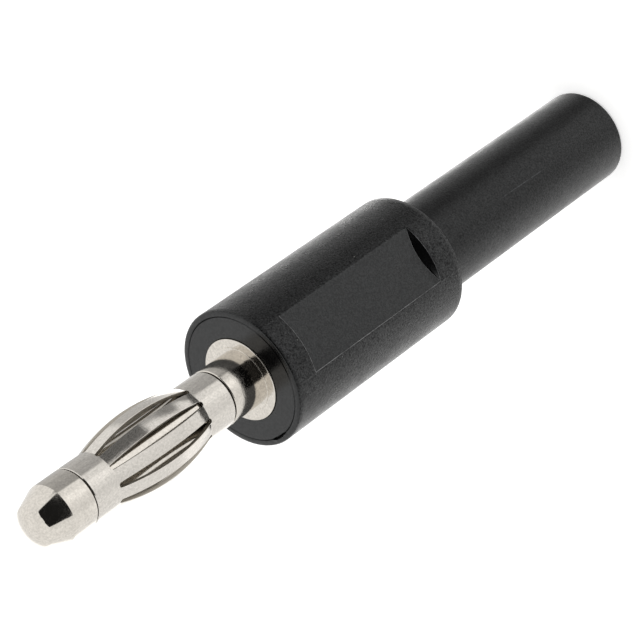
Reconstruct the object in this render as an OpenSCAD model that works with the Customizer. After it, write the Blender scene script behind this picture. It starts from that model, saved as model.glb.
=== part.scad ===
// Sprung 4 mm plug with an insulated 4 mm socket in its tail.
// The axis is vertical: the tail stands on z = 0 and the plug points up.
// The first finger flat of the grip faces -Y.

/* [Grip] */
// Outside diameter of the grip
grip_d = 9.5; // [8.8:0.1:12]
// Length of the grip
grip_l = 16.9; // [15.5:0.1:22]
// Number of finger flats, evenly spaced round the grip
flat_count = 2; // [1:1:3]
// Depth of a finger flat below the round
flat_depth = 0.48; // [0.2:0.02:0.6]
// Length of a finger flat where it leaves the round
flat_l = 12.9; // [6:0.1:13]
// Full-round band between the front face and a finger flat
flat_front = 1.9; // [1:0.05:2.2]
// Slope of the shoulder behind a finger flat, in degrees
flat_slope = 43; // [25:1:80]
// Bevel of the grip's front edge
grip_front_bevel = 0.12; // [0.05:0.01:0.3]
// Bevel of the grip's rear edge
grip_rear_bevel = 0.06; // [0.03:0.01:0.3]
// Width of the lip outside the fine ring on the front face
face_lip = 0.42; // [0.3:0.02:0.8]
// Width of the fine ring on the front face
face_ring_w = 0.1; // [0.06:0.01:0.2]
// Depth of the fine ring on the front face
face_ring_depth = 0.06; // [0.03:0.01:0.15]

/* [Rear sleeve] */
// Outside diameter of the sleeve
sleeve_d = 6.8; // [6.4:0.1:7.6]
// Length of the sleeve behind the grip
sleeve_l = 21.1; // [16:0.1:30]
// How deep the sleeve sits in the grip
sleeve_seat = 6; // [4:0.1:9]
// Thickness of the sleeve's inner end wall, which the socket bears on
sleeve_wall_t = 2; // [1:0.1:3]
// Rounding of the sleeve's outer edge at the tail
sleeve_round = 0.25; // [0.1:0.05:0.35]
// Bevel inside the sleeve's mouth
sleeve_mouth = 0.2; // [0.1:0.05:0.3]

/* [Socket] */
// Outside diameter of the socket
socket_d = 5.2; // [4.9:0.05:5.5]
// Diameter of the socket's bore
socket_bore_d = 4.04; // [3.9:0.01:4.2]
// How far the socket lies inside the sleeve's mouth
socket_recess = 2; // [0.5:0.1:5]
// Solid metal between the drilled point of the bore and the tapped hole
socket_web = 1.2; // [0.6:0.1:3]
// Included angle of the bore's drilled point, in degrees
drill_angle = 118; // [90:1:140]
// Bevel inside the socket's mouth
socket_mouth = 0.3; // [0.1:0.05:0.4]
// Diameter of the socket's tapped hub
hub_d = 3.7; // [3.3:0.1:4]

/* [Contact pin] */
// Diameter of the nose, the neck and the cage's bands
pin_d = 3.9; // [3.7:0.05:4]
// Distance from the grip's front face to the shoulder behind the cage
neck_l = 2.66; // [1.5:0.02:4]
// Length of the nose's straight part
nose_l = 1.88; // [1:0.02:4]
// Slope of the nose's cone to the axis, in degrees
nose_slope = 21; // [12:1:45]
// Diameter at which the cone ends in the domed tip
tip_d = 2.76; // [2:0.02:3.2]
// Radius of the domed tip
tip_r = 2.3; // [1.8:0.05:6]
// Diameter of the collar at the foot of the neck
collar_d = 4.55; // [4.3:0.05:5]
// Height of the collar above the flange
collar_h = 0.04; // [0.02:0.01:0.4]
// Diameter of the flange
flange_d = 5.7; // [5.2:0.1:6.6]
// Thickness of the flange
flange_t = 1.4; // [0.8:0.1:2.5]
// How far the flange stands proud of the grip's front face
flange_proud = 0.1; // [0.05:0.01:0.3]
// Bevel of the flange's edge
flange_bevel = 0.05; // [0.02:0.01:0.1]
// Diameter of the shank inside the grip
shank_d = 4; // [3.4:0.1:4.6]
// Diameter of the threaded tail
screw_d = 2.5; // [2:0.1:3]
// Length of the threaded tail
screw_l = 5; // [3:0.1:7]

/* [Contact cage] */
// Thickness of the cage's sheet
cage_t = 0.23; // [0.15:0.01:0.3]
// Length of the cage's rear band
band_rear = 2.2; // [1:0.05:3]
// Length of the cage's front band
band_front = 1.95; // [1:0.05:3]
// Length of the slots
slot_l = 8.25; // [8.2:0.05:12]
// Number of slots, and of strips between them
slot_count = 10; // [7:1:11]
// Width of a strip at its middle
strip_w = 0.875; // [0.6:0.025:1]
// How far the strips bow out beyond the bands
bow = 0.62; // [0.3:0.02:0.8]
// Length of the bowed part
bow_l = 8.1; // [6:0.05:8.2]
// Radius of the bend where a strip leaves its band
bend_r = 0.2; // [0.1:0.05:3]
// Turn of the first slot from the first finger flat, in degrees
slot_turn = 8.8; // [0:0.1:36]
// Width of the open seam where the rolled sheet meets itself
seam_w = 0.12; // [0.05:0.01:0.25]

/* [Fits] */
// Radial clearance between pieces that are pressed or screwed together
seat_gap = 0.02; // [0.01:0.005:0.05]
// Radial clearance of the cage on the stem
cage_clear = 0.05; // [0.02:0.01:0.09]
// Gap between the neck and the cage
cage_gap_rear = 0.06; // [0.05:0.01:0.3]
// Gap between the cage and the nose
cage_gap_front = 0.05; // [0.02:0.01:0.2]
// Gap between the shank's end and the socket's hub
clamp_gap = 0.2; // [0.1:0.05:0.5]
// Room below the threaded tail in its tapped hole
tap_room = 0.4; // [0.2:0.1:1]

/* [Hidden] */
$fn = 64;
black = "#1d1e1f";
nickel = "#c8c4bb";

grip_r = grip_d / 2;
pin_r = pin_d / 2;
collar_r = collar_d / 2;
flange_r = flange_d / 2;
shank_r = shank_d / 2;
screw_r = screw_d / 2;
sleeve_r = sleeve_d / 2;
socket_r = socket_d / 2;
bore_r = socket_bore_d / 2;
hub_r = hub_d / 2;
cage_in_r = pin_r - cage_t;
stem_r = cage_in_r - cage_clear;

// Heights along the axis, from the tail up
grip_z = sleeve_l;
face_z = grip_z + grip_l;
sleeve_top = grip_z + sleeve_seat;
socket_top = sleeve_top - sleeve_wall_t;
shank_z = sleeve_top + clamp_gap;
screw_z = shank_z - screw_l;
tap_z = screw_z - tap_room;
drill_point = bore_r / tan(drill_angle / 2);
bore_top = tap_z - socket_web - drill_point;
flange_top = face_z + flange_proud;
flange_z = flange_top - flange_t;
collar_top = flange_top + collar_h;
neck_top = face_z + neck_l;
cage_z = neck_top + cage_gap_rear;
slot_z = cage_z + band_rear;
slot_mid = slot_z + slot_l / 2;
cage_top = slot_z + slot_l + band_front;
nose_z = cage_top + cage_gap_front;
cone_z = nose_z + nose_l;

// The nose's cone ends at the edge of the domed tip
tip_edge_r = tip_d / 2;
tip_edge_z = cone_z + (pin_r - tip_edge_r) / tan(nose_slope);
tip_mid = tip_edge_z - sqrt(tip_r * tip_r - tip_edge_r * tip_edge_r);

// A bowed strip is a wide arc between two small arcs, all meeting smoothly
bow_angle = 2 * atan(2 * bow / bow_l);
bow_r = bow_l / 2 / sin(bow_angle) - bend_r;
bow_peak = pin_r + bow;

// How far a cutter reaches beyond the surface that it cuts
cut_room = 0.2;

// The cutters of the cage start below its inside and end beyond its bow
cut_in_r = cage_in_r - cut_room;
cut_out_r = bow_peak + cut_room;

// What a convex corner loses when it is rounded, with the corner at the origin
module corner_round(r) {
    difference() {
        square(r);
        translate([r, r])
            circle(r);
    }
}

// A flat ends squarely at the front and in a cone round the axis at the rear
module flat_cut() {
    floor_y = grip_r - flat_depth;
    front = face_z - flat_front;
    rear = front - flat_l;
    out_r = grip_r + cut_room;
    in_r = floor_y - cut_room;
    outline = [
        [out_r, rear - cut_room / tan(flat_slope)],
        [in_r, rear + (flat_depth + cut_room) / tan(flat_slope)],
        [in_r, front],
        [out_r, front]
    ];
    intersection() {
        rotate_extrude()
            polygon(outline);
        translate([-grip_r, -out_r, grip_z])
            cube([grip_d, out_r - floor_y, grip_l]);
    }
}

module grip_body() {
    ring_r = grip_r - face_lip;
    flange_seat_r = flange_r + seat_gap;
    shank_seat_r = shank_r + seat_gap;
    sleeve_seat_r = sleeve_r + seat_gap;
    outline = [
        [flange_seat_r, face_z],
        [ring_r - face_ring_w / 2, face_z],
        [ring_r, face_z - face_ring_depth],
        [ring_r + face_ring_w / 2, face_z],
        [grip_r - grip_front_bevel, face_z],
        [grip_r, face_z - grip_front_bevel],
        [grip_r, grip_z + grip_rear_bevel],
        [grip_r - grip_rear_bevel, grip_z],
        [sleeve_seat_r, grip_z],
        [sleeve_seat_r, sleeve_top],
        [shank_seat_r, sleeve_top],
        [shank_seat_r, flange_z],
        [flange_seat_r, flange_z]
    ];
    color(black)
        difference() {
            rotate_extrude()
                polygon(outline);
            for (i = [0 : flat_count - 1])
                rotate([0, 0, i * 360 / flat_count])
                    flat_cut();
        }
}

module rear_sleeve() {
    socket_seat_r = socket_r + seat_gap;
    hub_seat_r = hub_r + seat_gap;
    outline = [
        [socket_seat_r + sleeve_mouth, 0],
        [sleeve_r, 0],
        [sleeve_r, sleeve_top],
        [hub_seat_r, sleeve_top],
        [hub_seat_r, socket_top],
        [socket_seat_r, socket_top],
        [socket_seat_r, sleeve_mouth]
    ];
    color(black)
        rotate_extrude()
            difference() {
                polygon(outline);
                translate([sleeve_r, 0])
                    mirror([1, 0])
                        corner_round(sleeve_round);
            }
}

module socket_contact() {
    tap_r = screw_r + seat_gap;
    outline = [
        [bore_r + socket_mouth, socket_recess],
        [socket_r, socket_recess],
        [socket_r, socket_top],
        [hub_r, socket_top],
        [hub_r, sleeve_top],
        [tap_r, sleeve_top],
        [tap_r, tap_z],
        [0, tap_z],
        [0, bore_top + drill_point],
        [bore_r, bore_top],
        [bore_r, socket_recess + socket_mouth]
    ];
    color(nickel)
        rotate_extrude()
            polygon(outline);
}

module contact_pin() {
    outline = [
        [0, screw_z],
        [screw_r, screw_z],
        [screw_r, shank_z],
        [shank_r, shank_z],
        [shank_r, flange_z],
        [flange_r, flange_z],
        [flange_r, flange_top - flange_bevel],
        [flange_r - flange_bevel, flange_top],
        [collar_r, flange_top],
        [collar_r, collar_top],
        [pin_r, collar_top],
        [pin_r, neck_top],
        [stem_r, neck_top],
        [stem_r, nose_z],
        [pin_r, nose_z],
        [pin_r, cone_z],
        [tip_edge_r, tip_edge_z],
        [0, tip_edge_z]
    ];
    color(nickel)
        rotate_extrude() {
            polygon(outline);
            intersection() {
                translate([0, tip_mid])
                    circle(tip_r);
                translate([0, tip_edge_z])
                    square(tip_edge_r);
            }
        }
}

// Half section of a bowed barrel from the axis out, with the middle of the bow at height 0.
// inset is how far its surface lies below the outside of the sheet.
module barrel_section(inset) {
    band_r = pin_r - inset;
    arc_r = bow_r - inset;
    foot_r = bend_r + inset;
    knee_r = band_r + foot_r * (1 - cos(bow_angle));
    knee_z = arc_r * sin(bow_angle);
    foot_z = bow_l / 2;
    rear = -slot_l / 2 - band_rear;
    front = slot_l / 2 + band_front;
    outline = [
        [0, rear],
        [band_r, rear],
        [band_r, -foot_z],
        [knee_r, -knee_z],
        [knee_r, knee_z],
        [band_r, foot_z],
        [band_r, front],
        [0, front]
    ];
    difference() {
        polygon(outline);
        for (side = [-1, 1])
            translate([band_r + foot_r, side * foot_z])
                circle(foot_r);
    }
    intersection() {
        translate([bow_peak - bow_r, 0])
            circle(arc_r);
        translate([knee_r, -foot_z])
            square([bow, bow_l]);
    }
}

// A slot is a wedge between the flat sides of two strips, with round ends in the bands
module slot_cut() {
    turn = 180 / slot_count;
    end_r = (2 * pin_r * sin(turn) - strip_w) / 2;
    end_z = slot_l / 2 - end_r;
    apex = strip_w / 2 / sin(turn);
    half_w = (cut_out_r - apex) * tan(turn);
    linear_extrude(height = 2 * end_z, center = true)
        polygon([[apex, 0], [cut_out_r, -half_w], [cut_out_r, half_w]]);
    for (z = [-end_z, end_z])
        translate([cut_in_r, 0, z])
            rotate([0, 90, 0])
                cylinder(r = end_r, h = cut_out_r - cut_in_r);
}

module seam_cut() {
    reach = slot_l / 2 + band_rear + band_front;
    translate([cut_in_r, -seam_w / 2, -reach])
        cube([cut_out_r - cut_in_r, seam_w, 2 * reach]);
}

module contact_cage() {
    color(nickel)
        translate([0, 0, slot_mid])
            rotate([0, 0, slot_turn - 90])
                difference() {
                    rotate_extrude()
                        difference() {
                            barrel_section(0);
                            barrel_section(cage_t);
                        }
                    for (i = [0 : slot_count - 1])
                        rotate([0, 0, i * 360 / slot_count])
                            slot_cut();
                    rotate([0, 0, floor(slot_count / 2) * 360 / slot_count])
                        seam_cut();
                }
}

grip_body();
rear_sleeve();
socket_contact();
contact_pin();
contact_cage();
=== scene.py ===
"""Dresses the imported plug: finishes, fine moulded and turned detail, studio light and camera.

Sizes of the part are in millimetres, as in its drawing, and turn into metres where a mesh is made.
The part stands on its tail, with its axis on Z and its first finger flat facing -Y.
"""

import math

import bmesh
import bpy
import numpy as np
from mathutils import Matrix, Vector


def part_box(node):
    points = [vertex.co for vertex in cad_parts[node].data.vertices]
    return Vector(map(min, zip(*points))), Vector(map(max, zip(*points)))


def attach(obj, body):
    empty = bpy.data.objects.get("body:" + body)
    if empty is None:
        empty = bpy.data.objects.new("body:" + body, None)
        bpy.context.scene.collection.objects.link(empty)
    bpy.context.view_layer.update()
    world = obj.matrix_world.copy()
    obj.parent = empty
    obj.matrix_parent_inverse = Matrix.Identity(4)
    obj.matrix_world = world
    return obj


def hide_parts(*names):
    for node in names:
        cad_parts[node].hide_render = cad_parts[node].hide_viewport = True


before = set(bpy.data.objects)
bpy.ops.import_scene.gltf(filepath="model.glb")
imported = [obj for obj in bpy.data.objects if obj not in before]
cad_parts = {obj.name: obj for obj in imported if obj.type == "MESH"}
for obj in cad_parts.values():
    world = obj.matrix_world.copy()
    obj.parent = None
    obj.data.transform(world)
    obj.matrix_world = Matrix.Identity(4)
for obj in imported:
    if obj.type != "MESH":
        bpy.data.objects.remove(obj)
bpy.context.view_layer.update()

MM = 0.001

# Heights along the axis that the frame gives
FACE_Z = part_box("grip_body")[1].z / MM
GRIP_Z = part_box("grip_body")[0].z / MM
SLEEVE_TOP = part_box("rear_sleeve")[1].z / MM
PIN_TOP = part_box("contact_pin")[1].z / MM
SCREW_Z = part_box("contact_pin")[0].z / MM
CAGE_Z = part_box("contact_cage")[0].z / MM
CAGE_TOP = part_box("contact_cage")[1].z / MM

# Grip
GRIP_R = 4.75
GRIP_FRONT_BEVEL = 0.12
GRIP_REAR_BEVEL = 0.06
BEVEL_MID_IN = 0.35 * GRIP_FRONT_BEVEL
BEVEL_MID_DOWN = 0.3 * GRIP_FRONT_BEVEL
FLAT_COUNT = 2
FLAT_DEPTH = 0.48
FLAT_L = 12.9
FLAT_FRONT = 1.9
FLAT_SLOPE = math.radians(43)
FLAT_FIRST_DEG = -90.0
FACE_RING_R = 4.33
FACE_RING_W = 0.1
FACE_RING_DEPTH = 0.06
FACE_RING_LIP = 0.04
FLANGE_SEAT_R = 2.87
FLANGE_SEAT_Z = FACE_Z - 1.3
SHANK_SEAT_R = 2.02
SLEEVE_SEAT_R = 3.42
GATE_MID_DEG = 181.4
GATE_HALF_DEG = 9.5
GATE_DEPTH = 0.2
GATE_FLASH = 0.07
GATE_WIDENING = 0.9
SEAM_RIDGE = 0.014
# An edge break takes no more than BREAK_LIMIT of the flat's depth there, and the shoulder's are smaller
EDGE_BREAK = 0.035
BREAK_LIMIT = 0.3
SHOULDER_SHARE = 0.3
# Width of the worn strip at each flat's front edge, whose pale colour also paints that edge's highlight
RUB_AND_HIGHLIGHT_W = 0.022

# Rear sleeve: a scratch with its two ends, its lean and its distance aside from the axis
SCRATCH_Z = (8.3, 13.4)
SCRATCH_LEAN = 0.0154
SCRATCH_ASIDE = 0.44

# Contact pin
PIN_R = 1.95
STEM_R = 1.67
NECK_TOP = FACE_Z + 2.66
NOSE_GAP = 0.05
NOSE_Z = CAGE_TOP + NOSE_GAP
NOSE_L = 1.88
TIP_EDGE_R = 1.38
TIP_R = 2.3
COLLAR_R = 2.275
COLLAR_H = 0.04
FLANGE_R = 2.85
FLANGE_TOP = FACE_Z + 0.1
FLANGE_T = 1.4
SHANK_R = 2.0
SHANK_Z = SLEEVE_TOP + 0.2
SCREW_R = 1.25

# Contact cage
CAGE_T = 0.23
BAND_REAR = 2.2
SLOT_L = 8.25
SLOT_COUNT = 10
STRIP_W = 0.875
BOW = 0.62
BOW_L = 8.1
BEND_R = 0.2
SLOT_FIRST_DEG = 8.8 - 90.0
SEAM_W = 0.12
SLOT_MID = CAGE_Z + BAND_REAR + SLOT_L / 2
BOW_ANGLE = 2 * math.atan(2 * BOW / BOW_L)
BOW_R = BOW_L / 2 / math.sin(BOW_ANGLE) - BEND_R
KNEE_Z = BOW_R * math.sin(BOW_ANGLE)
STRIP_FLAT = 0.55
FLAT_FADE = 0.8
SHEET_BREAK = 0.022
END_BREAK = 0.045
# The dressed cage stops short of the solid at both ends, which widens the dark gaps there
REAR_SETBACK = 0.06
FRONT_SETBACK = 0.04

# Finishes of the grip, the pin and the cage, each in the order of the piece's materials
# The grip's worn finish also paints thin highlights along the flats' edges
GRAIN, SMOOTH, FRONT_SKIN, PATCH, WORN_AND_HIGHLIGHT = range(5)
# The pin's gap finish is painted shade on the ledges that face the cage's ends
NOSE_SKIN, NECK_SKIN, GAP_PAINTED_SHADE = range(3)
SHEET_SKIN, SHEARED_AND_GAP_SHADE = range(2)

# Axes of the view: SIDE and FRONT are level, and the camera stands on the FRONT side
VIEW_TURN = math.radians(3.4)
SIDE = Vector((math.cos(VIEW_TURN), math.sin(VIEW_TURN), 0.0))
FRONT = Vector((math.sin(VIEW_TURN), -math.cos(VIEW_TURN), 0.0))
UP = Vector((0.0, 0.0, 1.0))

# Camera, fitted to the photograph's outline: its lens and picture in pixels, its place from the middle of
# the grip's front face, and the picture's right and top as shares of SIDE, FRONT and UP
LENS_PX = 2600.4
PICTURE_PX = 640
CAMERA_AHEAD = 128.55
CAMERA_ABOVE = 99.09
PICTURE_RIGHT = (-0.580, 0.521, -0.6261)
PICTURE_TOP = (0.8145, 0.372, -0.4452)

# Light tent: the level all round, and panels that each lie over those before them. A panel has a level,
# the turn from FRONT towards SIDE and the rise of its middle, half its width, half its height and the
# softness of its edges, with all angles in degrees.
TENT_LEVEL = 1.05
PANELS = [
    (1.55, -163, -20, 24, 24, 12),
    (1.25, 8, -33, 14, 20, 8),
    (0.95, -38, -20, 16, 36, 10),
    (1.4, 160, -66, 40, 17, 3),
    (0.6, 148, -32, 46, 5, 2.5),
    (0.6, 118, -38.5, 22, 6, 4),
    (2.6, 163, -56, 22, 16, 3),
    (1.35, -92, -52, 30, 12, 4),
    (0.5, 79, -40.5, 29.5, 11.5, 4.5),
    (0.45, 65, -40.5, 14.5, 11.5, 4.5),
    (0.24, 71, -46.5, 24, 6, 2),
    (0.3, 80, -58, 15, 8, 2),
    (0.08, 46, -13.4, 11, 16.3, 2),
    (0.015, 1.5, 39, 44.5, 35, 1.0),
]
FLOOR_R = 3000.0
FLOOR_GLOW = 0.55


# Mesh helpers

def add_piece(name, bm, body, materials, replaces, sharp_deg=50):
    """Turns a finished bmesh, in millimetres, into a piece that rides on a body."""
    bmesh.ops.recalc_face_normals(bm, faces=bm.faces)
    mesh = bpy.data.meshes.new(name)
    bm.to_mesh(mesh)
    bm.free()
    mesh.transform(Matrix.Scale(MM, 4))
    mesh.shade_smooth()
    mesh.set_sharp_from_angle(angle=math.radians(sharp_deg))
    for material in materials:
        mesh.materials.append(material)
    piece = bpy.data.objects.new(name, mesh)
    bpy.context.scene.collection.objects.link(piece)
    weighted = piece.modifiers.new("even_normals", "WEIGHTED_NORMAL")
    weighted.keep_sharp = True
    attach(piece, body)
    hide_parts(*replaces)


def rounded(corners, steps=5):
    """An outline of (r, z) points, from corners (r, z, radius) whose radius rounds that corner."""
    points = []
    count = len(corners)
    for i, (r, z, radius) in enumerate(corners):
        here = Vector((r, z))
        if radius <= 0:
            points.append((r, z))
            continue
        before = (Vector(corners[i - 1][:2]) - here).normalized()
        after = (Vector(corners[(i + 1) % count][:2]) - here).normalized()
        half = before.angle(after) / 2
        reach = radius / math.tan(half)
        centre = here + (before + after).normalized() * (radius / math.sin(half))
        start = here + before * reach - centre
        end = here + after * reach - centre
        for k in range(steps + 1):
            spot = start.lerp(end, k / steps).normalized() * radius + centre
            points.append((spot.x, spot.y))
    return points


def arc(centre, radius, start_deg, end_deg, steps):
    """Points of an arc in the half section, with angles from the radial direction."""
    angles = [math.radians(start_deg + (end_deg - start_deg) * k / steps) for k in range(steps + 1)]
    return [(centre[0] + radius * math.cos(a), centre[1] + radius * math.sin(a)) for a in angles]


def lathe(outline, segments=180):
    """A bmesh turned from a closed outline of (r, z) points; points on the axis are single vertices."""
    bm = bmesh.new()
    rings = []
    for r, z in outline:
        if r < 1e-6:
            rings.append([bm.verts.new((0.0, 0.0, z))] * segments)
            continue
        turns = [2 * math.pi * k / segments for k in range(segments)]
        rings.append([bm.verts.new((r * math.cos(a), r * math.sin(a), z)) for a in turns])
    for i, ring in enumerate(rings):
        above = rings[(i + 1) % len(rings)]
        for k in range(segments):
            n = (k + 1) % segments
            corners = list(dict.fromkeys((ring[k], ring[n], above[n], above[k])))
            if len(corners) > 2:
                bm.faces.new(corners)
    return bm


# Materials

class Nodes:
    """A node tree, with short ways to add nodes that work on the place that is shaded."""

    def __init__(self, tree, coordinates):
        self.nodes = tree.nodes
        self.links = tree.links
        self.place = self.nodes.new("ShaderNodeTexCoord").outputs[coordinates]

    def along(self, axis):
        node = self.nodes.new("ShaderNodeVectorMath")
        node.operation = "DOT_PRODUCT"
        node.inputs[1].default_value = axis
        self.links.new(self.place, node.inputs[0])
        return node.outputs["Value"]

    def math(self, operation, *values):
        node = self.nodes.new("ShaderNodeMath")
        node.operation = operation
        for socket, value in zip(node.inputs, values):
            if isinstance(value, (int, float)):
                socket.default_value = value
            else:
                self.links.new(value, socket)
        return node.outputs[0]

    def ramp(self, value, low, high, low_out, high_out, smooth=False):
        node = self.nodes.new("ShaderNodeMapRange")
        node.interpolation_type = "SMOOTHSTEP" if smooth else "LINEAR"
        ends = {"From Min": low, "From Max": high, "To Min": low_out, "To Max": high_out}
        for name, number in ends.items():
            node.inputs[name].default_value = number
        self.links.new(value, node.inputs["Value"])
        return node.outputs["Result"]


class Shader(Nodes):
    """A principled material, whose nodes work on the place in its piece, in millimetres."""

    def __init__(self, name, color, metallic, roughness):
        self.material = bpy.data.materials.new(name)
        self.material.use_nodes = True
        super().__init__(self.material.node_tree, "Object")
        self.out = self.nodes["Principled BSDF"]
        self.out.inputs["Base Color"].default_value = (*color, 1.0)
        self.out.inputs["Metallic"].default_value = metallic
        self.out.inputs["Roughness"].default_value = roughness
        self.material.diffuse_color = (*color, 1.0)
        scale = self.nodes.new("ShaderNodeVectorMath")
        scale.operation = "SCALE"
        scale.inputs["Scale"].default_value = 1 / MM
        self.links.new(self.place, scale.inputs[0])
        self.place = scale.outputs[0]

    def stretched(self, factors):
        node = self.nodes.new("ShaderNodeVectorMath")
        node.operation = "MULTIPLY"
        node.inputs[1].default_value = factors
        self.links.new(self.place, node.inputs[0])
        return node.outputs[0]

    def noise(self, scale, detail=3.0, rough=0.55, vector=None):
        node = self.nodes.new("ShaderNodeTexNoise")
        node.inputs["Scale"].default_value = scale
        node.inputs["Detail"].default_value = detail
        node.inputs["Roughness"].default_value = rough
        self.links.new(vector or self.place, node.inputs["Vector"])
        return node.outputs["Fac"]

    def blend_colors(self, factor, first, second):
        node = self.nodes.new("ShaderNodeMix")
        node.data_type = "RGBA"
        node.inputs["A"].default_value = (*first, 1.0)
        node.inputs["B"].default_value = (*second, 1.0)
        self.links.new(factor, node.inputs["Factor"])
        return node.outputs["Result"]

    def bump(self, height, depth_mm):
        node = self.nodes.new("ShaderNodeBump")
        node.inputs["Strength"].default_value = 1.0
        node.inputs["Distance"].default_value = depth_mm * MM
        self.links.new(height, node.inputs["Height"])
        self.links.new(node.outputs["Normal"], self.out.inputs["Normal"])

    def drive(self, socket, value):
        self.links.new(value, self.out.inputs[socket])


def plastic(name, grain_mm, grain_depth, roughness, shine, speckle, dusty=False, scratched=False):
    """Black moulding: a sandy grain of that pitch and depth and an uneven, speckled gloss.

    If dusty, it has rare pale specks, and if scratched, one fine scratch.
    """
    color = (0.0018, 0.0018, 0.0019)
    sh = Shader(name, color, 0.0, roughness)
    sh.out.inputs["IOR"].default_value = 1.5
    sh.out.inputs["Specular Tint"].default_value = (0.965, 0.985, 1.0, 1.0)
    sh.out.inputs["Sheen Weight"].default_value = 0.08
    sh.out.inputs["Sheen Roughness"].default_value = 0.25
    grain = sh.noise(1 / grain_mm, 4.0, 0.6)
    pores = sh.noise(0.45 / grain_mm, 2.0, 0.5)
    sh.bump(sh.math("ADD", grain, sh.math("MULTIPLY", pores, 0.7)), grain_depth)
    sh.drive("Specular IOR Level", sh.ramp(grain, 0.35, 0.65, shine * (1 - speckle), shine * (1 + speckle)))
    gloss = sh.noise(0.9, 4.0, 0.6)
    sh.drive("Roughness", sh.ramp(gloss, 0.3, 0.7, roughness - 0.05, roughness + 0.06))
    if dusty:
        dust = sh.ramp(sh.noise(6.0, 0.0), 0.87, 0.9, 0.0, 1.0)
        sh.drive("Base Color", sh.blend_colors(dust, color, (0.16, 0.16, 0.15)))
    if scratched:
        sh.drive("Base Color", sh.blend_colors(scratch(sh), color, (0.04, 0.042, 0.045)))
    return sh.material


def scratch(sh):
    """Where a fine scratch runs up the front of a round piece, broken here and there."""
    low_z, high_z = SCRATCH_Z
    off_line = sh.math("ABSOLUTE", sh.math("ADD", sh.along(SIDE - UP * SCRATCH_LEAN), SCRATCH_ASIDE))
    line = sh.ramp(off_line, 0.012, 0.045, 1.0, 0.0)
    off_middle = sh.math("ABSOLUTE", sh.math("SUBTRACT", sh.along(UP), (low_z + high_z) / 2))
    half_l = (high_z - low_z) / 2
    length = sh.ramp(off_middle, half_l - 0.4, half_l, 1.0, 0.0)
    in_front = sh.ramp(sh.along(FRONT), 0.0, 0.5, 0.0, 1.0)
    broken = sh.ramp(sh.noise(2.5, 2.0), 0.38, 0.55, 0.2, 1.0)
    return sh.math("MULTIPLY", sh.math("MULTIPLY", line, length), sh.math("MULTIPLY", in_front, broken))


def worn_plastic_with_highlight():
    """The rubbed edges of the flats: greyer than the moulding, in patches, and pale enough to paint the thin
    highlights along the edges.
    """
    sh = Shader("grip_worn_and_highlight", (0.04, 0.04, 0.042), 0.0, 0.4)
    rub = sh.math("ADD", sh.noise(4.0, 4.0, 0.6), sh.noise(0.6, 2.0))
    sh.bump(rub, 0.002)
    # Pale patches of wear that also paint the edges' highlights
    rub_and_highlight_mask = sh.ramp(rub, 0.8, 1.2, 0.0, 1.0)
    sh.drive("Base Color", sh.blend_colors(rub_and_highlight_mask, (0.02, 0.02, 0.021), (0.2, 0.2, 0.205)))
    return sh.material


def turned_nickel(name, roughness, grit_depth):
    """Bright plated brass with the fine rings that turning leaves and a grit of that depth."""
    sh = Shader(name, (0.66, 0.625, 0.57), 1.0, roughness)
    rings = sh.noise(1.0, 3.0, 0.6, sh.stretched((0.15, 0.15, 26.0)))
    grit = sh.noise(7.0, 3.0, 0.6)
    sh.bump(sh.math("ADD", sh.math("MULTIPLY", rings, 0.4), grit), grit_depth)
    cloud = sh.noise(1.6, 4.0, 0.6)
    sh.drive("Roughness", sh.ramp(cloud, 0.3, 0.7, 0.8 * roughness, 1.3 * roughness))
    speckle = sh.ramp(sh.math("ADD", cloud, sh.math("MULTIPLY", grit, 2.0)), 1.05, 1.95, 0.0, 1.0)
    sh.drive("Base Color", sh.blend_colors(speckle, (0.56, 0.53, 0.485), (0.75, 0.71, 0.65)))
    return sh.material


def rolled_nickel():
    """Satin plated sheet: fine grain and faint streaks along the strips."""
    sh = Shader("rolled_nickel", (0.65, 0.62, 0.575), 0.88, 0.15)
    streaks = sh.noise(1.0, 3.0, 0.6, sh.stretched((16.0, 16.0, 0.8)))
    grit = sh.noise(7.5, 3.0, 0.6)
    sh.bump(sh.math("ADD", streaks, sh.math("MULTIPLY", grit, 0.9)), 0.0018)
    cloud = sh.noise(2.2, 4.0, 0.6)
    sh.drive("Roughness", sh.ramp(cloud, 0.3, 0.7, 0.08, 0.14))
    speckle = sh.ramp(sh.math("ADD", streaks, sh.math("MULTIPLY", grit, 2.0)), 1.05, 1.95, 0.0, 1.0)
    sh.drive("Base Color", sh.blend_colors(speckle, (0.56, 0.535, 0.495), (0.74, 0.705, 0.655)))
    return sh.material


def sheared_and_gap_shade_nickel():
    """Cut edges and inside of the sheet: duller and darker than its face, with a torn grain. On the pin's
    ledges and the cage's end faces this darker finish also paints shade into the gaps.
    """
    sh = Shader("sheared_and_gap_shade_nickel", (0.3, 0.27, 0.23), 1.0, 0.4)
    torn = sh.noise(12.0, 4.0, 0.65)
    sh.bump(torn, 0.006)
    sh.drive("Roughness", sh.ramp(torn, 0.3, 0.7, 0.25, 0.42))
    sh.drive("Base Color", sh.blend_colors(torn, (0.24, 0.22, 0.185), (0.48, 0.45, 0.4)))
    return sh.material


# Pieces

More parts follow.
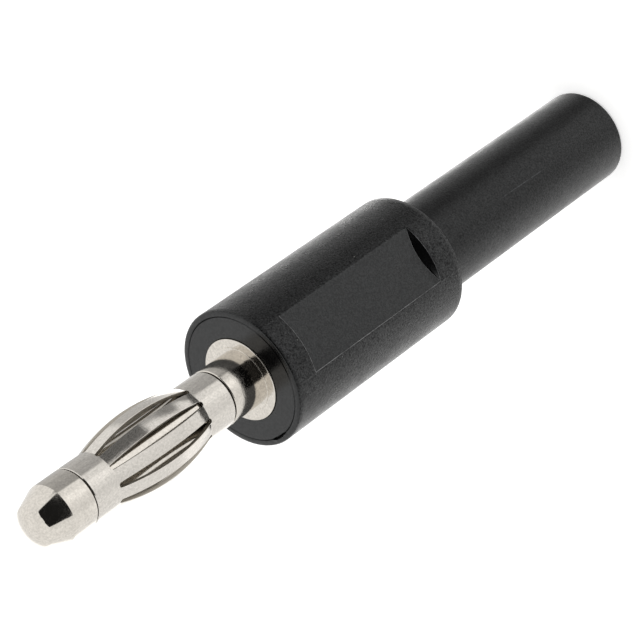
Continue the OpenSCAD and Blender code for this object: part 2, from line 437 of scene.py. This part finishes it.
def contact_pin():
    """The turned pin: flange, collar, neck, stem and domed nose, with small broken edges."""
    tip_mid = PIN_TOP - TIP_R
    edge_deg = math.degrees(math.acos(TIP_EDGE_R / TIP_R))
    edge_z = tip_mid + TIP_R * math.sin(math.radians(edge_deg))
    collar_top = FLANGE_TOP + COLLAR_H
    flange_z = FLANGE_TOP - FLANGE_T
    dome = arc((0.0, tip_mid), TIP_R, 90, edge_deg + 5, 14)
    side = rounded([
        (*dome[-1], 0),
        (TIP_EDGE_R, edge_z, 0.25),
        (PIN_R, NOSE_Z + NOSE_L, 0.03),
        (PIN_R, NOSE_Z, 0.06),
        (STEM_R, NOSE_Z, 0),
        (STEM_R, NECK_TOP, 0),
        (PIN_R, NECK_TOP, 0.07),
        (PIN_R, collar_top, 0),
        (COLLAR_R, collar_top, 0.02),
        (COLLAR_R, FLANGE_TOP, 0),
        (FLANGE_R, FLANGE_TOP, 0.05),
        (FLANGE_R, flange_z, 0.05),
        (SHANK_R, flange_z, 0),
        (SHANK_R, SHANK_Z, 0.05),
        (SCREW_R, SHANK_Z, 0),
        (SCREW_R, SCREW_Z, 0.2),
        (0.0, SCREW_Z, 0),
    ])[1:]
    bm = lathe(dome + side)
    for face in bm.faces:
        middle = face.calc_center_median()
        to_ledge = min(abs(middle.z - NOSE_Z), abs(middle.z - NECK_TOP))
        # Ledges facing the cage's ends take the darker sheared finish: painted shade in the gaps
        if to_ledge < 1e-3 and middle.xy.length > STEM_R:
            face.material_index = GAP_PAINTED_SHADE
        else:
            face.material_index = NECK_SKIN if middle.z < NOSE_Z else NOSE_SKIN
    materials = [
        turned_nickel("nose_nickel", roughness=0.07, grit_depth=0.0016),
        turned_nickel("neck_nickel", roughness=0.12, grit_depth=0.003),
        sheared_and_gap_shade_nickel(),
    ]
    add_piece("turned_contact_pin", bm, "plug", materials, ["contact_pin"])


def cage_row(z):
    """(r, z) of the outside of the sheet at a height from the bow's middle, and its outward normal."""
    side = math.copysign(1.0, z)
    if abs(z) <= KNEE_Z:
        lean = math.asin(z / BOW_R)
        return PIN_R + BOW - BOW_R * (1 - math.cos(lean)), z, (math.cos(lean), math.sin(lean))
    if abs(z) < BOW_L / 2:
        lean = math.asin((BOW_L / 2 - abs(z)) / BEND_R)
        return PIN_R + BEND_R * (1 - math.cos(lean)), z, (math.cos(lean), side * math.sin(lean))
    return PIN_R, z, (1.0, 0.0)


def contact_cage():
    """The rolled cage: round bands and bowed strips that lie flat across, with the sheet's edges broken."""
    turn = math.pi / SLOT_COUNT
    end_r = (2 * PIN_R * math.sin(turn) - STRIP_W) / 2
    end_z = SLOT_L / 2 - end_r
    crease_z = BOW_L / 2
    slot_end = SLOT_L / 2
    rear = CAGE_Z - SLOT_MID + REAR_SETBACK
    front = CAGE_TOP - SLOT_MID - FRONT_SETBACK
    columns = 8
    strip_rows = 26
    band_rows = 6
    last_row = end_z - 0.05
    seam = SLOT_COUNT // 2

    near_end = [end_z, KNEE_Z, (KNEE_Z + crease_z) / 2, crease_z]
    near_end += [crease_z + (slot_end - crease_z) * k / 3 for k in (1, 2, 3)]
    half = [last_row * k / strip_rows for k in range(strip_rows + 1)] + near_end
    in_bands = range(1, band_rows)
    heights = [rear, rear + END_BREAK] + [rear + (-slot_end - rear) * k / band_rows for k in in_bands]
    heights += [-z for z in reversed(half[1:])] + half
    heights += [slot_end + (front - slot_end) * k / band_rows for k in in_bands]
    heights += [front - END_BREAK, front]

    def half_turn(z, r, at_seam):
        """Angle from the middle of a strip to the edge of its sheet at that height and radius."""
        if abs(z) <= end_z:
            return math.asin(STRIP_W / 2 / r)
        if abs(z) < slot_end - 1e-6:
            wide = math.sqrt(max(end_r ** 2 - (abs(z) - end_z) ** 2, 0.0))
            return turn - math.asin(wide / r)
        return turn - (math.asin(SEAM_W / 2 / r) if at_seam else 0.0)

    def edge_break(z):
        """How far the edge of the sheet is broken beside a slot at that height."""
        room = max(slot_end - abs(z), 0.0) / end_r
        return SHEET_BREAK * min(1.0, room)

    def flatness(z):
        """How flat the sheet is across: the same all along the strips, falling to 0 in the round bands."""
        return STRIP_FLAT * min(1.0, max(0.0, 1 - (abs(z) - crease_z) / FLAT_FADE))

    bm = bmesh.new()
    for strip in range(SLOT_COUNT):
        middle = math.radians(SLOT_FIRST_DEG) + (2 * strip + 1) * turn
        cuts = {-1: strip == seam, 1: strip + 1 == seam}

        def corner(z, inset, u, pull):
            """A vertex: inset from the outside, at share u of the half width, pulled in from the edge."""
            r, height, normal = cage_row(z)
            r -= inset * normal[0]
            height -= inset * normal[1]
            edge = half_turn(z, r, cuts[1 if u > 0 else -1])
            a = u * (edge - pull / r)
            flat_r = r * math.cos(math.asin(STRIP_W / 2 / r)) / math.cos(a)
            r += flatness(z) * min(flat_r - r, 0.0)
            a += middle
            return bm.verts.new((r * math.cos(a), r * math.sin(a), SLOT_MID + height))

        rows = []
        for z in heights:
            pull = edge_break(z)
            at_end = z in (heights[0], heights[-1])
            skin = END_BREAK if at_end else 0.0
            shares = [2 * c / columns - 1 for c in range(columns + 1)]
            outer = [corner(z, skin, u, pull) for u in shares]
            inner = [corner(z, CAGE_T - skin, u, pull) for u in shares]
            insets = (max(pull, skin), CAGE_T - max(pull, skin))
            walls = {u: [corner(z, inset, u, 0.0) for inset in insets] for u in (-1, 1)}
            rows.append((z, outer, inner, walls))
        for (z, outer, inner, walls), (next_z, next_outer, next_inner, next_walls) in zip(rows, rows[1:]):
            for c in range(columns):
                bm.faces.new((outer[c], outer[c + 1], next_outer[c + 1], next_outer[c]))
                face = bm.faces.new((inner[c], next_inner[c], next_inner[c + 1], inner[c + 1]))
                face.material_index = SHEARED_AND_GAP_SHADE
            in_slot = max(abs(z), abs(next_z)) <= slot_end + 1e-6
            for u, c in ((-1, 0), (1, columns)):
                if in_slot or cuts[u]:
                    across = (outer[c], *walls[u], inner[c])
                    next_across = (next_outer[c], *next_walls[u], next_inner[c])
                    for k in range(3):
                        face = bm.faces.new((across[k], across[k + 1], next_across[k + 1], next_across[k]))
                        face.material_index = SHEET_SKIN if k == 0 else SHEARED_AND_GAP_SHADE
        # The cage's cut end faces take the darker sheared finish, which also paints shade into the gaps at
        # both ends
        for _, outer, inner, _ in (rows[0], rows[-1]):
            for c in range(columns):
                face = bm.faces.new((outer[c], outer[c + 1], inner[c + 1], inner[c]))
                face.material_index = SHEARED_AND_GAP_SHADE
    bmesh.ops.remove_doubles(bm, verts=bm.verts, dist=2e-4)
    bmesh.ops.dissolve_degenerate(bm, edges=bm.edges, dist=1e-4)
    materials = [rolled_nickel(), sheared_and_gap_shade_nickel()]
    add_piece("rolled_contact_cage", bm, "cage", materials, ["contact_cage"], sharp_deg=35)


def grip_outline_inside():
    """Half section of the grip's bores, from the flange seat's front rim to the sleeve seat's rear rim."""
    return rounded([
        (FACE_RING_R, FACE_Z, 0),
        (FLANGE_SEAT_R, FACE_Z, 0.04),
        (FLANGE_SEAT_R, FLANGE_SEAT_Z, 0),
        (SHANK_SEAT_R, FLANGE_SEAT_Z, 0),
        (SHANK_SEAT_R, SLEEVE_TOP, 0),
        (SLEEVE_SEAT_R, SLEEVE_TOP, 0),
        (SLEEVE_SEAT_R, GRIP_Z, 0.05),
        (GRIP_R, GRIP_Z, 0),
    ])[1:-1]


def grip_columns():
    """Columns round the grip: (angle, offset from a flat's middle or None, has a moulded line)."""
    flat_columns = 41
    round_columns = 121
    edge = math.acos((GRIP_R - FLAT_DEPTH) / GRIP_R)
    chamfer = 0.5 * EDGE_BREAK / GRIP_R
    pitch = 2 * math.pi / FLAT_COUNT
    columns = []
    for flat in range(FLAT_COUNT):
        middle = math.radians(FLAT_FIRST_DEG) + flat * pitch
        inside = np.linspace(-edge + chamfer, edge - chamfer, flat_columns)
        columns += [(middle + a, a, False) for a in inside]
        columns.append((middle + edge + chamfer, None, True))
        outside = np.linspace(edge + 3 * chamfer, pitch - edge - 3 * chamfer, round_columns)
        columns += [(middle + a, None, False) for a in outside]
        columns.append((middle + pitch - edge - chamfer, None, True))
    return columns


def grip_side(offset, ridge):
    """Points (r, z, skin) up the outside of one column of the grip, from its rear edge to its front edge."""
    flat_front = FACE_Z - FLAT_FRONT
    flat_rear = flat_front - FLAT_L
    rear = GRIP_Z + GRIP_REAR_BEVEL
    front = FACE_Z - GRIP_FRONT_BEVEL
    edge_r = GRIP_R + (SEAM_RIDGE if ridge else 0.0)
    in_flat = offset is not None
    floor_r = (GRIP_R - FLAT_DEPTH) / math.cos(offset) if in_flat else GRIP_R
    deep = GRIP_R - floor_r
    soft = min(EDGE_BREAK, BREAK_LIMIT * deep)
    thin = SHOULDER_SHARE * soft
    # In a flat's columns the edge points take the worn finish, which paints a highlight along the flat's
    # edges
    band, line, slope, skin = (PATCH, WORN_AND_HIGHLIGHT, FRONT_SKIN, SMOOTH) if in_flat else (GRAIN,) * 4
    band_rows = 6
    slope_rows = 3
    floor_rows = 24

    def ramp_z(part):
        """Height of the shoulder at that depth below the round."""
        return flat_rear + part / math.tan(FLAT_SLOPE)

    points = []
    for k in range(band_rows + 1):
        height = rear + (flat_rear - thin - rear) * k / band_rows
        points.append((edge_r, height, line if k == band_rows else band))
    for k in range(slope_rows + 1):
        part = thin + (deep - 2 * thin) * k / slope_rows
        points.append((GRIP_R - part, ramp_z(part), line if k == slope_rows else slope))
    floor_z = ramp_z(deep) + thin
    for k in range(floor_rows + 1):
        points.append((floor_r, floor_z + (flat_front - floor_z) * k / floor_rows, skin))
    points.append((GRIP_R - soft, flat_front, line))
    points.append((edge_r, flat_front + soft, line))
    rim_z = flat_front + soft + RUB_AND_HIGHLIGHT_W
    for k in range(band_rows + 1):
        points.append((edge_r, rim_z + (front - rim_z) * k / band_rows, band))
    return points


def gate_share(angle):
    """How far a column lies in the gate mark, from 0 outside it to 1 in its middle."""
    away = (math.degrees(angle) - GATE_MID_DEG + 180) % 360 - 180
    return max(0.0, 1 - (away / GATE_HALF_DEG) ** 4)


def grip_body():
    """The moulded grip: grained round, smooth flats and front face, moulded lines and gate mark."""
    inside = grip_outline_inside()
    columns = grip_columns()
    face_rows = 5
    bm = bmesh.new()
    loops = []
    for angle, offset, ridge in columns:
        gate = gate_share(angle)
        groove = FACE_RING_W / 2 * (1 + GATE_WIDENING * gate)
        loop = [(r, z, SMOOTH) for r, z in inside]
        loop.append((GRIP_R - GRIP_REAR_BEVEL, GRIP_Z, GRAIN))
        loop += grip_side(offset, ridge)
        loop.append((GRIP_R - BEVEL_MID_IN, FACE_Z - BEVEL_MID_DOWN, FRONT_SKIN))
        loop.append((GRIP_R - GRIP_FRONT_BEVEL, FACE_Z, FRONT_SKIN))
        loop.append((FACE_RING_R + groove + FACE_RING_LIP, FACE_Z, FRONT_SKIN))
        loop.append((FACE_RING_R + groove, FACE_Z + GATE_FLASH * gate, FRONT_SKIN))
        loop.append((FACE_RING_R, FACE_Z - FACE_RING_DEPTH - GATE_DEPTH * gate, FRONT_SKIN))
        loop.append((FACE_RING_R - groove, FACE_Z, FRONT_SKIN))
        face_r = FACE_RING_R - 2 * FACE_RING_W
        for k in range(1, face_rows):
            loop.append((face_r - (face_r - FLANGE_SEAT_R) * k / face_rows, FACE_Z, FRONT_SKIN))
        verts = [bm.verts.new((r * math.cos(angle), r * math.sin(angle), z)) for r, z, _ in loop]
        loops.append((verts, [skin for _, _, skin in loop]))
    count = len(loops[0][0])
    for i, (here, skins) in enumerate(loops):
        there, other = loops[(i + 1) % len(loops)]
        for k in range(count):
            n = (k + 1) % count
            face = bm.faces.new((here[k], there[k], there[n], here[n]))
            # Faces along the flats' edges take the worn finish, with its painted edge highlight
            on_line = columns[i][2] and skins[k] == GRAIN and other[k] == other[n] == SMOOTH
            if on_line or WORN_AND_HIGHLIGHT in (skins[k], other[k]):
                face.material_index = WORN_AND_HIGHLIGHT
            elif skins[k] == GRAIN:
                face.material_index = GRAIN
            else:
                pairs = ((skins[k], other[k]), (skins[n], other[n]))
                face.material_index = max(min(pair) for pair in pairs if WORN_AND_HIGHLIGHT not in pair)
    bmesh.ops.remove_doubles(bm, verts=bm.verts, dist=1e-5)
    materials = [
        plastic("grip_grain", grain_mm=0.1, grain_depth=0.024, roughness=0.30, shine=0.33, speckle=0.75,
                dusty=True),
        plastic("grip_smooth", grain_mm=0.10, grain_depth=0.003, roughness=0.28, shine=0.45, speckle=0.3),
        plastic("grip_front", grain_mm=0.12, grain_depth=0.003, roughness=0.2, shine=0.5, speckle=0.2),
        plastic("grip_patch", grain_mm=0.1, grain_depth=0.024, roughness=0.31, shine=0.34, speckle=0.78,
                dusty=True),
        worn_plastic_with_highlight(),
    ]
    add_piece("moulded_grip", bm, "plug", materials, ["grip_body"])


def finish_cad_nodes():
    """The sleeve and the socket keep their CAD meshes and get their finishes."""
    satin = plastic("sleeve_satin", grain_mm=0.11, grain_depth=0.012, roughness=0.32, shine=0.32,
                    speckle=0.45, scratched=True)
    bright = turned_nickel("socket_nickel", roughness=0.15, grit_depth=0.0016)
    finishes = {"rear_sleeve": satin, "socket_contact": bright}
    for node, material in finishes.items():
        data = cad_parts[node].data
        data.materials.clear()
        data.materials.append(material)


# Studio

def tent_world():
    """A white light tent: even, with brighter and greyer panels and the dark opening for the camera."""
    world = bpy.data.worlds.new("tent")
    bpy.context.scene.world = world
    world.use_nodes = True
    tent = Nodes(world.node_tree, "Generated")
    rise = tent.math("ARCSINE", tent.along(UP))
    light = TENT_LEVEL
    for level, turn_deg, rise_deg, half_turn_deg, half_rise_deg, soft_deg in PANELS:
        turn = math.radians(turn_deg)
        ahead = FRONT * math.cos(turn) + SIDE * math.sin(turn)
        across = SIDE * math.cos(turn) - FRONT * math.sin(turn)
        off_turn = tent.math("ABSOLUTE", tent.math("ARCTAN2", tent.along(across), tent.along(ahead)))
        off_rise = tent.math("ABSOLUTE", tent.math("SUBTRACT", rise, math.radians(rise_deg)))
        masks = []
        for off, half_deg in ((off_turn, half_turn_deg), (off_rise, half_rise_deg)):
            inner = math.radians(half_deg - soft_deg)
            outer = math.radians(half_deg + soft_deg)
            masks.append(tent.ramp(off, inner, outer, 1.0, 0.0, smooth=True))
        mask = tent.math("MULTIPLY", *masks)
        rest = tent.math("MULTIPLY", light, tent.math("SUBTRACT", 1.0, mask))
        light = tent.math("ADD", rest, tent.math("MULTIPLY", mask, level))
    background = tent.nodes["Background"]
    background.inputs["Color"].default_value = (1.0, 0.995, 0.985, 1.0)
    tent.links.new(light, background.inputs["Strength"])


def floor():
    """A plain white floor that keeps the part's shadow; the metal mirrors the tent round it."""
    bm = bmesh.new()
    bmesh.ops.create_circle(bm, cap_ends=True, segments=96, radius=FLOOR_R)
    mesh = bpy.data.meshes.new("floor")
    bm.to_mesh(mesh)
    bm.free()
    mesh.transform(Matrix.Scale(MM, 4))
    plane = bpy.data.objects.new("floor", mesh)
    bpy.context.scene.collection.objects.link(plane)
    material = bpy.data.materials.new("white_floor")
    material.use_nodes = True
    shader = material.node_tree.nodes["Principled BSDF"]
    shader.inputs["Base Color"].default_value = (0.9, 0.9, 0.9, 1.0)
    shader.inputs["Roughness"].default_value = 1.0
    shader.inputs["Specular IOR Level"].default_value = 0.0
    shader.inputs["Emission Color"].default_value = (1.0, 1.0, 1.0, 1.0)
    shader.inputs["Emission Strength"].default_value = FLOOR_GLOW
    mesh.materials.append(material)
    plane.visible_glossy = False


def camera():
    """The photograph's camera: a long lens before and above the part, rolled so that the part lies aslant."""
    def direction(side, front, up):
        return SIDE * side + FRONT * front + UP * up

    place = UP * FACE_Z + FRONT * CAMERA_AHEAD + UP * CAMERA_ABOVE
    right = direction(*PICTURE_RIGHT).normalized()
    back = right.cross(direction(*PICTURE_TOP)).normalized()
    above = back.cross(right)
    data = bpy.data.cameras.new("camera")
    data.sensor_width = 36.0
    data.lens = data.sensor_width * LENS_PX / PICTURE_PX
    data.clip_start = 0.01
    data.clip_end = 10.0
    cam = bpy.data.objects.new("camera", data)
    bpy.context.scene.collection.objects.link(cam)
    turn = Matrix((right, above, back)).transposed().to_4x4()
    cam.matrix_world = Matrix.Translation(place * MM) @ turn
    bpy.context.scene.camera = cam


contact_pin()
contact_cage()
grip_body()
finish_cad_nodes()
tent_world()
floor()
camera()
bpy.context.scene.view_settings.view_transform = "Standard"
